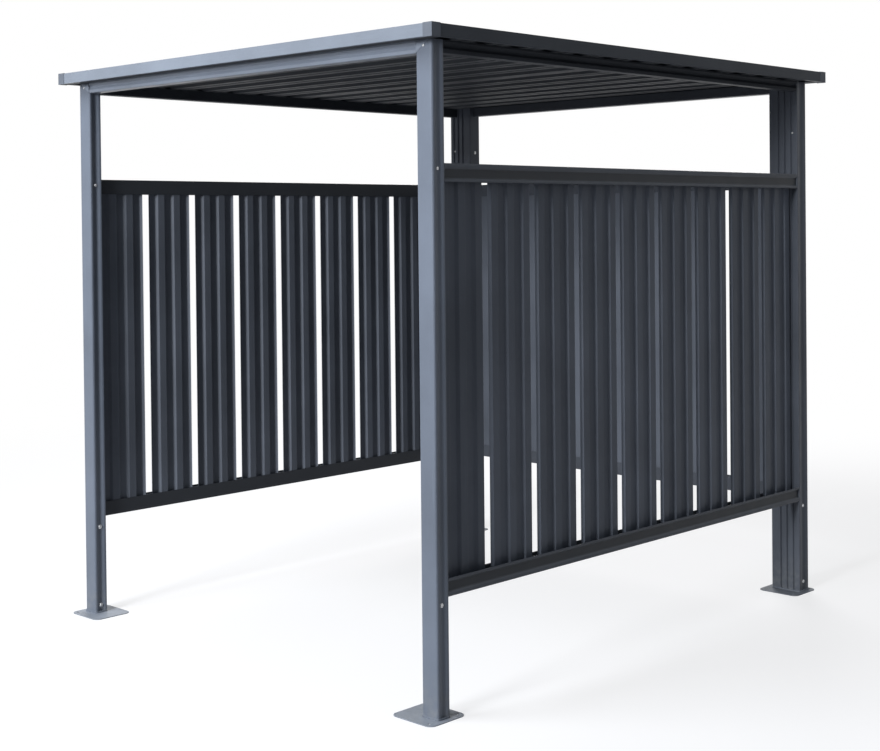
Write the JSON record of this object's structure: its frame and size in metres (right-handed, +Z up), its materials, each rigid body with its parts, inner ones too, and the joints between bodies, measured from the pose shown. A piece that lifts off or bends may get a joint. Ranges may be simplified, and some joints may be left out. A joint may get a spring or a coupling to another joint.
{
  "type": "bike shelter",
  "caption": "Open-fronted bike shelter of painted folded steel: slatted side and back walls, flat corrugated roof in a fascia, posts on foot plates.",
  "frame": {"origin": "middle of the ground-level underside of the whole shelter", "axes": "+X to the right seen from the open front, +Y to the back wall, +Z up"},
  "size_m": [2.04, 2.29, 2.1085],
  "materials": {
    "post_paint": "satin powder coat, slate grey",
    "plate_paint": "satin powder coat, slate grey, scuffed",
    "rail_paint": "satin powder coat, anthracite",
    "slat_paint": "satin coil coat, anthracite",
    "roof_paint": "matte coil coat, dark anthracite",
    "fascia_paint": "satin coil coat, slate grey",
    "cap_plastic": "moulded plastic, slate grey",
    "fixings": "zinc-plated domed screw heads"
  },
  "bodies": {
    "root": {"front_post_left": "post_paint", "front_post_right": "post_paint", "back_column_left": "post_paint", "back_column_right": "post_paint", "foot_plate_front_left": "plate_paint", "foot_plate_front_right": "plate_paint", "foot_plate_back_left": "plate_paint", "foot_plate_back_right": "plate_paint", "front_beam": "rail_paint", "back_beam": "rail_paint", "left_beam": "rail_paint", "right_beam": "rail_paint", "left_top_rail": "rail_paint", "left_bottom_rail": "rail_paint", "right_top_rail": "rail_paint", "right_bottom_rail": "rail_paint", "back_top_rail": "rail_paint", "back_bottom_rail": "rail_paint", "left_slat_1": "slat_paint", "left_slat_2": "slat_paint", "left_slat_3": "slat_paint", "left_slat_4": "slat_paint", "left_slat_5": "slat_paint", "left_slat_6": "slat_paint", "left_slat_7": "slat_paint", "left_slat_8": "slat_paint", "left_slat_9": "slat_paint", "right_slat_1": "slat_paint", "right_slat_2": "slat_paint", "right_slat_3": "slat_paint", "right_slat_4": "slat_paint", "right_slat_5": "slat_paint", "right_slat_6": "slat_paint", "right_slat_7": "slat_paint", "right_slat_8": "slat_paint", "right_slat_9": "slat_paint", "back_slat_1": "slat_paint", "back_slat_2": "slat_paint", "back_slat_3": "slat_paint", "back_slat_4": "slat_paint", "back_slat_5": "slat_paint", "back_slat_6": "slat_paint", "back_slat_7": "slat_paint", "roof_sheet_front": "roof_paint", "roof_sheet_back": "roof_paint", "front_fascia": "fascia_paint", "back_fascia": "fascia_paint", "left_fascia": "fascia_paint", "right_fascia": "fascia_paint", "corner_cap_front_left": "cap_plastic", "corner_cap_front_right": "cap_plastic", "corner_cap_back_left": "cap_plastic", "corner_cap_back_right": "cap_plastic"}
  },
  "joints": []
}
